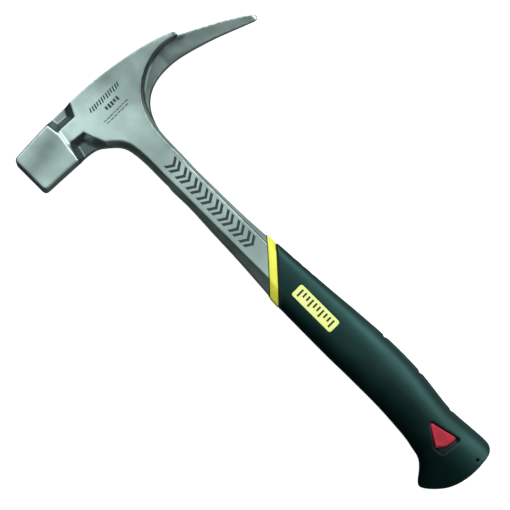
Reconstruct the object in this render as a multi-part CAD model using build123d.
from build123d import *
from math import cos, pi, sin
import os

# Roofing claw hammer, forged in one piece, lying on its side. x runs along the handle towards the
# crown of the head, y towards the striking face and z up through the cheek. The hammer is the same
# on both sides of z = 0. Outline points are (down, front): the distance below the crown and the
# distance in front of the handle axis, in millimetres.

# Overall and head
LENGTH = 340.0
FACE_FRONT = 67.4
BLOCK_HALF = 13.0
FACE_CORNER = 3.0
BLOCK_EDGE = 1.4
RIDGE_WIDTH = 1.3
BLOCK_REAR = 38.0
# The cheeks of the block are edged all round in front of this place
RIM_FROM = 44.0
CHEEK_HALF = 11.8
# Each side of the horn is one plane through three points (down, front, height)
HORN_CROWN = (0.0, -34.0, 11.8)
HORN_NECK = (46.0, -8.0, 11.8)
HORN_TIP = (16.0, -60.0, 9.9)
# Bevels of the cheek's lower borders, and where each border lies in front of the handle axis
THROAT_BEVEL = 2.6
THROAT_BORDER = (2.0, 41.0)
PULLER_BEVEL = 2.1
PULLER_BORDER = (-60.0, -2.0)
BORDER_SHORTEST = 6.0
CROWN_DEPTH = 17.0

# Pockets between the striking block and the cheek
POCKET_FLOOR = 5.0
POCKET_DRAFT = 31

# Pick: each side is one plane through three points, and the web beside it is another
PICK_ROOT_SPINE = (17.0, -45.0, 8.0)
PICK_ROOT_EDGE = (26.5, -45.0, 6.0)
PICK_TIP = (43.6, -104.5, 2.6)
PICK_ROOT_SLANT = 4.0
WEB_ROOT_SPINE = (17.0, -45.0, 7.8)
WEB_ROOT_EDGE = (26.5, -45.0, 5.85)
WEB_NECK = (50.0, -10.0, 5.3)

# Neck: an octagon, with a flat facet of constant width on each cheek
NECK_HALF = 9.0
FACET_WIDTH = 7.15
THINNING_FROM = 22.0
NECK_FROM = 80.0
NECK_FRONT = 9.75
NECK_BACK = 9.4
# Where the bevel behind the neck starts to widen, and a point (down, front, height) of its plane there
SHOULDER_FROM = 47.0
SHOULDER_TOP = (47.0, -8.6, 10.7)
# (down, front half width, back half width, height of the side edges)
NECK_STATIONS = [
    (NECK_FROM, NECK_FRONT, NECK_BACK, 6.4),
    (94, 9.9, 9.35, 6.3),
    (108, 10.25, 9.55, 6.1),
    (122, 11.0, 9.9, 5.6),
    (136, 11.5, 10.6, 5.1),
    (150, 12.25, 11.6, 4.7),
    (164, 13.2, 12.7, 4.4),
    (178, 14.4, 13.6, 4.1),
    (190, 15.0, 14.2, 4.0),
]

# Collar ring: a diagonal band round the neck
COLLAR_DOWN = 157.2
COLLAR_SLOPE = 1.1
COLLAR_WIDTH = 7.9
COLLAR_PROUD = 0.6
COLLAR_GAP = 1.4

# Tang and tuning fork inside the grip
TANG_WIDTH = 7.0
TANG_HALF = 4.5
FORK_FROM = 236.0
FORK_TO = 322.0
FORK_WIDTH = 9.0
SLOT_WIDTH = 2.5
SLOT_FROM = 250.0

# Grip: (down, front, back, half thickness, squareness of the section: 2 is an ellipse)
GRIP_HALF = 13.0
SECTION_POINTS = 28
GRIP_STATIONS = [
    (146, 13.3, 12.2, 10.4, 4.4),
    (160, 13.9, 13.2, 10.9, 4.2),
    (175, 14.5, 14.3, 11.3, 4.0),
    (190, 14.8, 15.4, 11.7, 3.7),
    (204, 14.95, 16.6, 11.95, 3.4),
    (218, 15.05, 17.9, 12.15, 3.1),
    (233, 14.95, 19.1, 12.45, 2.8),
    (247, 14.75, 19.8, 12.75, 2.6),
    (261, 14.7, 19.9, 12.95, 2.45),
    (274, 15.0, 19.3, 13.0, 2.4),
    (285, 15.7, 18.1, 12.95, 2.35),
    (296, 16.7, 16.7, 12.9, 2.35),
    (306, 18.6, 16.2, 12.9, 2.4),
    (313, 22.0, 16.6, 12.9, 2.5),
    (318, 28.0, 17.0, 12.95, 2.6),
    (323, 32.6, 17.4, 13.0, 2.7),
    (332, 34.5, 17.8, 13.0, 2.8),
    (345, 35.5, 18.4, 13.0, 2.8),
]
# Straight limits of the grip in side view: where they start, their distances, and where the flare starts
SIDE_FROM = 100.0
SIDE_FRONT = 16.4
SIDE_BACK = 22.0
FLARE_FROM = 286.0
HEEL_FROM = 322.0
# Hard inner grip: the same kind of stations, well inside the sleeve
CORE_FROM = 180.0
CORE_TO = 328.0
CORE_STATIONS = [
    (CORE_FROM, 10.6, 10.6, 8.2, 3.0),
    (225, 10.8, 13.4, 9.0, 2.6),
    (265, 10.8, 14.4, 9.4, 2.4),
    (298, 12.0, 12.0, 9.4, 2.4),
    (CORE_TO, 13.0, 12.4, 9.4, 2.4),
]
NOTCH_DOWNS = [240.4, 272.0, 302.4]
NOTCH_LENGTH = 3.2
NOTCH_DEPTH = 1.7
NOTCH_CLEAR = 0.1
SCALLOP_DOWNS = [166.7, 174.2, 181.7]
SCALLOP_RADIUS = 4.2
SCALLOP_DEPTH = 0.45
GATE_HOLE = (336.0, -4.5)
GATE_RADIUS = 0.9
GATE_DEPTH = 4.0

# Badge and damper window
BADGE_FROM = 181.5
BADGE_TO = 215.4
BADGE_HALF_WIDTH = 4.65
BADGE_CORNER = 1.6
BADGE_FLOOR = 11.2
BADGE_TOP = 12.45
WINDOW_POINTS = [(297.0, -1.2), (320.0, -6.3), (318.2, 8.6), (311.5, 9.2)]
WINDOW_CORNER = 1.3
BOSS_POINTS = [(297.0, -0.6), (317.6, -5.6), (316.8, 3.0), (311.8, 8.6)]
DAMPER_TOP = 11.8
DAMPER_CLEARANCE = 0.3

# Nail starter on top of the striking block
GROOVE_RADIUS = 2.2
GROOVE_LENGTH = 32.0
HEAD_REST_RADIUS = 5.5
HEAD_REST_LENGTH = 4.0
MAGNET_RADIUS = 3.0
MAGNET_DEPTH = 6.0
MAGNET_FRONT = 50.0

# Larger than the hammer, and near enough to be the same place
FAR = 200.0
CLOSE = 0.1


def at(down, front):
    """Point of a side outline in x and y."""
    return (-down, front)


def side_outline(*parts):
    """Face bounded by outline parts in turn: two points make a line, more make a smooth curve."""
    edges = []
    for part in parts:
        points = [at(down, front) for down, front in part]
        edges.append(Line(*points) if len(points) == 2 else Spline(*points))
    return make_face(edges)


def both_ways(face, half):
    """Slab of the given half thickness about z = 0."""
    return extrude(face, amount=half, both=True)


def mirrored(shape):
    """The shape and its mirror image on the other cheek."""
    return shape + mirror(shape, about=Plane.XY)


def head_profile():
    """Thickness of the head and neck seen from the front: full at the cheek, thinning to the neck."""
    top = [
        Line((FAR, CHEEK_HALF), (-THINNING_FROM, CHEEK_HALF)),
        Spline(
            (-THINNING_FROM, CHEEK_HALF),
            (-NECK_FROM, NECK_HALF),
            tangents=[(-1, 0), (-1, 0)],
        ),
        Line((-NECK_FROM, NECK_HALF), (-FAR, NECK_HALF)),
        Line((-FAR, NECK_HALF), (-FAR, 0)),
        Line((-FAR, 0), (FAR, 0)),
        Line((FAR, 0), (FAR, CHEEK_HALF)),
    ]
    return mirrored(extrude(Plane.XZ * make_face(top), amount=FAR, both=True))


def within_side_plane(*corners):
    """Everything between a plane through three points (down, front, height) and its mirror image."""
    points = [Vector(-down, front, height) for down, front, height in corners]
    normal = (points[1] - points[0]).cross(points[2] - points[0])
    if normal.Z < 0:
        normal = normal * -1
    side = Plane(origin=points[0], z_dir=normal)
    below = extrude(side * Rectangle(4 * FAR, 4 * FAR), amount=-2 * FAR)
    return below & mirror(below, about=Plane.XY)


def cheek_plate():
    """Proud cheek with the side nail puller, flowing into the neck, bevelled along its lower borders."""
    crown = [(0.6, 42), (0.2, 36), (0.3, 20), (1.05, 2), (3.0, -16), (6.15, -34), (9.3, -47), (14.0, -59.8)]
    tongue_end = [(14.0, -59.8), (16.4, -60.8)]
    tongue_corner = [(16.4, -60.8), (18.2, -56.6)]
    puller = [
        (18.2, -56.6),
        (17.0, -52.5),
        (16.4, -46.0),
        (17.2, -39.5),
        (20.3, -30.5),
        (25.9, -22.1),
        (32.6, -16.3),
        (40.0, -12.8),
        (52.0, -10.3),
        (64.0, -9.75),
        (NECK_FROM, -NECK_BACK),
    ]
    neck_end = [(NECK_FROM, -NECK_BACK), (NECK_FROM, NECK_FRONT)]
    throat = [
        (NECK_FROM, NECK_FRONT),
        (62.0, 9.7),
        (52.0, 10.3),
        (46.0, 11.5),
        (41.9, 13.6),
        (37.9, 17.5),
        (34.7, 21.7),
        (32.5, 26.3),
        (31.5, 31.1),
        (30.8, 42.0),
    ]
    inside_block = [(30.8, 42.0), (0.6, 42)]
    outline = side_outline(crown, tongue_end, tongue_corner, puller, neck_end, throat, inside_block)
    horn = within_side_plane(HORN_CROWN, HORN_NECK, HORN_TIP)
    plate = both_ways(outline, CHEEK_HALF) & head_profile() & horn
    plate = chamfer(border_edges(plate, *THROAT_BORDER), THROAT_BEVEL)
    plate = chamfer(border_edges(plate, *PULLER_BORDER), PULLER_BEVEL)
    return plate - neck_shoulder()


def border_edges(plate, rear, front):
    """Long edges of both cheeks below the crown and above the neck, between two distances in front."""
    edges = []
    for edge in plate.edges():
        middle = edge.center()
        on_cheek = abs(middle.Z) > NECK_HALF - 2 * CLOSE
        on_border = rear < middle.Y < front and CLOSE - NECK_FROM < middle.X < -CROWN_DEPTH
        if on_cheek and on_border and edge.length > BORDER_SHORTEST:
            edges.append(edge)
    return edges


def neck_shoulder():
    """What the bevel behind the neck takes off as it widens from the cheek down to the octagon."""
    zone = block_between(SHOULDER_FROM, NECK_FROM, -FACET_WIDTH, FAR, FAR)
    facet = (NECK_FROM, -FACET_WIDTH, NECK_HALF)
    side_edge = (NECK_FROM, -NECK_BACK, NECK_STATIONS[0][-1])
    return zone - within_side_plane(facet, side_edge, SHOULDER_TOP)


def web_and_pick():
    """Thin web between neck and cheek, running out into the curved tapering pick."""
    root = [
        (NECK_FROM, -8.0),
        (50.4, -10.9),
        (43.5, -13.2),
        (37.8, -16.4),
        (33.4, -20.8),
        (29.7, -26.9),
        (27.8, -33.1),
        (27.1, -43.0),
        (28.0, -52.0),
        (30.2, -61.1),
        (33.9, -73.7),
        (38.5, -86.2),
        (44.9, -102.2),
    ]
    tip_edge = [(44.9, -102.2), (44.9, -104.0)]
    tip_top = [(44.9, -104.0), (43.1, -105.2)]
    tip_shoulder = [(43.1, -105.2), (41.4, -104.1)]
    spine = [
        (41.4, -104.1),
        (39.1, -101.2),
        (35.5, -95.6),
        (29.6, -85.1),
        (23.1, -72.3),
        (18.1, -62.0),
        (15.9, -57.2),
        (11.5, -46.0),
    ]
    inside_cheek = [(11.5, -46.0), (6.0, -10.0)]
    inside_neck = [(6.0, -10.0), (NECK_FROM, 0.0)]
    neck_end = [(NECK_FROM, 0.0), (NECK_FROM, -8.0)]
    outline = side_outline(root, tip_edge, tip_top, tip_shoulder, spine, inside_cheek, inside_neck, neck_end)
    slab = both_ways(outline, CHEEK_HALF)
    spine_start = PICK_ROOT_SPINE[1]
    edge_start = spine_start + PICK_ROOT_SLANT
    step = side_outline(
        [(-FAR, spine_start), (14.0, spine_start)],
        [(14.0, spine_start), (30.0, edge_start)],
        [(30.0, edge_start), (FAR, edge_start)],
        [(FAR, edge_start), (FAR, -FAR)],
        [(FAR, -FAR), (-FAR, -FAR)],
        [(-FAR, -FAR), (-FAR, spine_start)],
    )
    pick = slab & both_ways(step, FAR) & within_side_plane(PICK_ROOT_SPINE, PICK_ROOT_EDGE, PICK_TIP)
    web = slab & within_side_plane(WEB_ROOT_SPINE, WEB_ROOT_EDGE, WEB_NECK)
    return web - both_ways(step, FAR) + pick


def striking_block():
    """Square striking block with a bevelled rim, stepping down to the cheek along a sloped ridge."""
    outline = side_outline(
        [(1.9, FACE_FRONT), (29.5, FACE_FRONT)],
        [(29.5, FACE_FRONT), (30.1, 52.0), (30.8, 37.0)],
        [(30.8, 37.0), (22.0, 36.9), (12.0, 35.2), (0.2, 34.8)],
        [(0.2, 34.8), (0.9, 52.0), (1.9, FACE_FRONT)],
    )
    outline = fillet([corner for corner in outline.vertices() if corner.Y > FACE_FRONT - CLOSE], FACE_CORNER)
    block = both_ways(outline, BLOCK_HALF)
    for side in (0, -1):
        cheek = block.faces().sort_by(Axis.Z)[side]
        rear = [edge for edge in cheek.edges() if edge.center().Y < BLOCK_REAR]
        block = chamfer(rear, RIDGE_WIDTH, BLOCK_HALF - CHEEK_HALF, reference=cheek)
    rim = [
        edge
        for edge in block.edges()
        if abs(edge.center().Z) > BLOCK_HALF - CLOSE and edge.center().Y > RIM_FROM
    ]
    return fillet(rim, BLOCK_EDGE)


def pocket(points):
    """Pocket cutter with drafted walls, from its floor out through the cheek."""
    floor = make_face(Polyline([at(down, front) for down, front in points], close=True))
    return mirrored(extrude(Plane.XY.offset(POCKET_FLOOR) * floor, amount=CHEEK_HALF, taper=-POCKET_DRAFT))


def pockets():
    """The pocket below the crown and the pocket above the throat, on both cheeks."""
    upper = pocket([(-14, 34.4), (4.6, 32.2), (5.0, 24.2), (-14, 14.8)])
    lower = pocket([(48, 39.0), (22.9, 32.6), (23.4, 27.6), (28.5, 25.9), (48, 17.0)])
    return upper + lower


def nail_starter():
    """Groove for the nail along the top of the block, with a wider rest for the nail's head."""
    groove = Plane.XZ.offset(-FACE_FRONT) * Circle(GROOVE_RADIUS)
    rest = Plane.XZ.offset(GROOVE_LENGTH - FACE_FRONT) * Circle(HEAD_REST_RADIUS)
    return extrude(groove, amount=GROOVE_LENGTH) + extrude(rest, amount=-HEAD_REST_LENGTH)


def magnet():
    """Round magnet below the floor of the groove."""
    disc = Pos(MAGNET_FRONT, 0, 0) * Circle(MAGNET_RADIUS)
    return extrude(Plane.YZ.offset(-GROOVE_RADIUS) * disc, amount=-MAGNET_DEPTH)


def octagon(down, front, back, edge, margin=0.0):
    """Neck section across the handle."""
    height = NECK_HALF + margin
    facet = FACET_WIDTH + margin / 2
    quarter = [(front + margin, edge), (facet, height), (-facet, height), (-back - margin, edge)]
    points = quarter + [(y, -z) for y, z in reversed(quarter)]
    return Plane.YZ.offset(-down) * make_face(Polyline(points, close=True))


def neck(margin=0.0):
    """Octagonal neck, widening towards the grip."""
    return loft([octagon(*station, margin) for station in NECK_STATIONS])


def beyond(down):
    """Everything on the butt side of a diagonal plane that crosses the handle axis at this place."""
    edge = side_outline(
        [(down - COLLAR_SLOPE * FAR, -FAR), (down + COLLAR_SLOPE * FAR, FAR)],
        [(down + COLLAR_SLOPE * FAR, FAR), (down + 3 * FAR, FAR)],
        [(down + 3 * FAR, FAR), (down + 3 * FAR, -FAR)],
        [(down + 3 * FAR, -FAR), (down - COLLAR_SLOPE * FAR, -FAR)],
    )
    return both_ways(edge, FAR)


def block_between(down_from, down_to, front, back, half):
    """Plain bar along the handle."""
    corners = [at(down_from, -back), at(down_from, front), at(down_to, front), at(down_to, -back)]
    return both_ways(make_face(Polyline(corners, close=True)), half)


def tang():
    """Tang inside the grip, ending in the two tines of the tuning fork."""
    bar = block_between(COLLAR_DOWN, FORK_FROM, TANG_WIDTH, TANG_WIDTH, TANG_HALF)
    fork = block_between(FORK_FROM, FORK_TO, FORK_WIDTH, FORK_WIDTH, TANG_HALF)
    slot = block_between(SLOT_FROM, FORK_TO, SLOT_WIDTH, SLOT_WIDTH, TANG_HALF)
    return bar + fork - slot


def forging():
    """Head, neck, tang and fork in one piece of steel."""
    cheek = cheek_plate() + web_and_pick() + striking_block() - pockets() - nail_starter() - magnet()
    shank = neck() - beyond(COLLAR_DOWN + COLLAR_WIDTH)
    return cheek + shank + tang()


def collar():
    """Raised diagonal ring that hides where the neck enters the grip."""
    band = neck(COLLAR_PROUD) - beyond(COLLAR_DOWN + COLLAR_WIDTH)
    return (band & beyond(COLLAR_DOWN)) - neck()


def signed_power(value, exponent):
    """Power of the size of a number, with the number's sign."""
    return abs(value) ** exponent * (1 if value > 0 else -1)


def rounded_section(down, front, back, half, squareness):
    """Section across the grip: a superellipse."""
    power = 2 / squareness
    points = []
    for step in range(SECTION_POINTS):
        angle = 2 * pi * (step + 0.5) / SECTION_POINTS
        y = (front + back) / 2 * signed_power(cos(angle), power)
        z = half * signed_power(sin(angle), power)
        points.append((y + (front - back) / 2, z))
    return Plane.YZ.offset(-down) * make_face(Spline(points, periodic=True))


def rounded_bar(stations):
    """Smooth solid through its sections along the handle."""
    return loft([rounded_section(*station) for station in stations])


def grip_side():
    """Side view of the grip: the flared butt with its rounded end."""
    back = [(SIDE_FROM, -SIDE_BACK), (HEEL_FROM, -SIDE_BACK)]
    heel = [
        (HEEL_FROM, -SIDE_BACK),
        (330.0, -18.2),
        (335.2, -17.2),
        (338.3, -14.0),
        (339.6, -9.0),
        (LENGTH, -3.0),
    ]
    end = [(LENGTH, -3.0), (339.9, 3.0), (338.7, 11.2), (335.8, 19.2), (330.7, 26.1), (326.0, 30.4)]
    tip = [(326.0, 30.4), (322.2, 31.6), (319.3, 30.2)]
    top = [(319.3, 30.2), (316.8, 25.9), (313.5, 22.4), (309, 19.8), (298, 17.6), (FLARE_FROM, SIDE_FRONT)]
    front = [(FLARE_FROM, SIDE_FRONT), (SIDE_FROM, SIDE_FRONT)]
    start = [(SIDE_FROM, SIDE_FRONT), (SIDE_FROM, -SIDE_BACK)]
    return both_ways(side_outline(back, heel, end, tip, top, front, start), GRIP_HALF)


def grip_back(down):
    """Distance of the grip's back behind the handle axis, between two stations."""
    after = next(k for k, station in enumerate(GRIP_STATIONS) if station[0] > down)
    (down_0, _, back_0, _, _), (down_1, _, back_1, _, _) = GRIP_STATIONS[after - 1 : after + 1]
    return back_0 + (back_1 - back_0) * (down - down_0) / (down_1 - down_0)


def notch(down):
    """Small step across the back of the grip, steep towards the head."""
    surface = -grip_back(down)
    steep = at(down, surface + NOTCH_DEPTH)
    shallow = at(down + NOTCH_LENGTH, surface - NOTCH_CLEAR)
    outside = at(down, surface - NOTCH_LENGTH)
    return both_ways(make_face(Polyline([steep, shallow, outside], close=True)), FAR)


def scallop(down):
    """Shallow hollow across the back of the grip behind the collar."""
    centre = at(down, -grip_back(down) - SCALLOP_RADIUS + SCALLOP_DEPTH)
    return both_ways(Pos(*centre) * Circle(SCALLOP_RADIUS), FAR)


def badge_plate():
    """Thin badge with rounded corners, let into one cheek of the grip."""
    length = BADGE_TO - BADGE_FROM
    plate = RectangleRounded(length, 2 * BADGE_HALF_WIDTH, BADGE_CORNER)
    middle = Pos(-(BADGE_FROM + BADGE_TO) / 2, 0, BADGE_FLOOR)
    return middle * extrude(plate, amount=BADGE_TOP - BADGE_FLOOR)


def rounded_prism(points, clearance=0.0):
    """Prism outwards from the fork's cheek over a polygon with rounded corners."""
    face = make_face(Polyline([at(down, front) for down, front in points], close=True))
    face = fillet(face.vertices(), WINDOW_CORNER)
    face = offset(face, -clearance) if clearance else face
    return extrude(Plane.XY.offset(TANG_HALF) * face, amount=FAR)


def damper():
    """Elastomer between the tines, with a triangular boss towards each window."""
    strip = block_between(SLOT_FROM, CORE_TO, SLOT_WIDTH, SLOT_WIDTH, TANG_HALF)
    reach = both_ways(Pos(-SLOT_FROM, 0, 0) * Rectangle(FAR, FAR), DAMPER_TOP)
    return strip + (mirrored(rounded_prism(BOSS_POINTS, DAMPER_CLEARANCE)) & reach)


def core():
    """Hard inner grip, filling the sleeve round the tang."""
    slot = block_between(SLOT_FROM, CORE_TO, SLOT_WIDTH, SLOT_WIDTH, TANG_HALF)
    return rounded_bar(CORE_STATIONS) - tang() - slot


def half_core(whole, side):
    """One half shell of the inner grip."""
    keep = extrude(Rectangle(4 * FAR, 4 * FAR), amount=side * FAR)
    return (whole & keep) - mirrored(rounded_prism(BOSS_POINTS))


def sleeve():
    """Soft outer grip with its flared butt."""
    body = rounded_bar(GRIP_STATIONS) & grip_side() & beyond(COLLAR_DOWN + COLLAR_WIDTH + COLLAR_GAP)
    body = body - rounded_bar(CORE_STATIONS) - tang()
    body = body - mirrored(rounded_prism(WINDOW_POINTS)) - mirrored(badge_plate())
    for down in NOTCH_DOWNS:
        body = body - notch(down)
    for down in SCALLOP_DOWNS:
        body = body - scallop(down)
    hole = Pos(*at(*GATE_HOLE), BLOCK_HALF - GATE_DEPTH) * extrude(Circle(GATE_RADIUS), amount=FAR)
    return body - mirrored(hole)


def centred_above_floor(shapes):
    """All sub-parts moved so that the origin is the middle of the underside of the whole hammer."""
    box = Compound(children=[Compound(shape.wrapped) for shape in shapes.values()]).bounding_box()
    move = Pos(-(box.min.X + box.max.X) / 2, -(box.min.Y + box.max.Y) / 2, -box.min.Z)
    return {name: move * shape for name, shape in shapes.items()}


def main():
    whole_core = core()
    badge = badge_plate()
    shapes = {
        "forged_head_and_shank": forging(),
        "nail_magnet": magnet(),
        "collar_ring": collar(),
        "grip_sleeve": sleeve(),
        "grip_core_left": half_core(whole_core, 1),
        "grip_core_right": half_core(whole_core, -1),
        "fork_damper": damper(),
        "badge_left": badge,
        "badge_right": mirror(badge, about=Plane.XY),
    }
    os.makedirs("parts", exist_ok=True)
    for name, shape in centred_above_floor(shapes).items():
        export_step(shape, f"parts/{name}.step")


main()
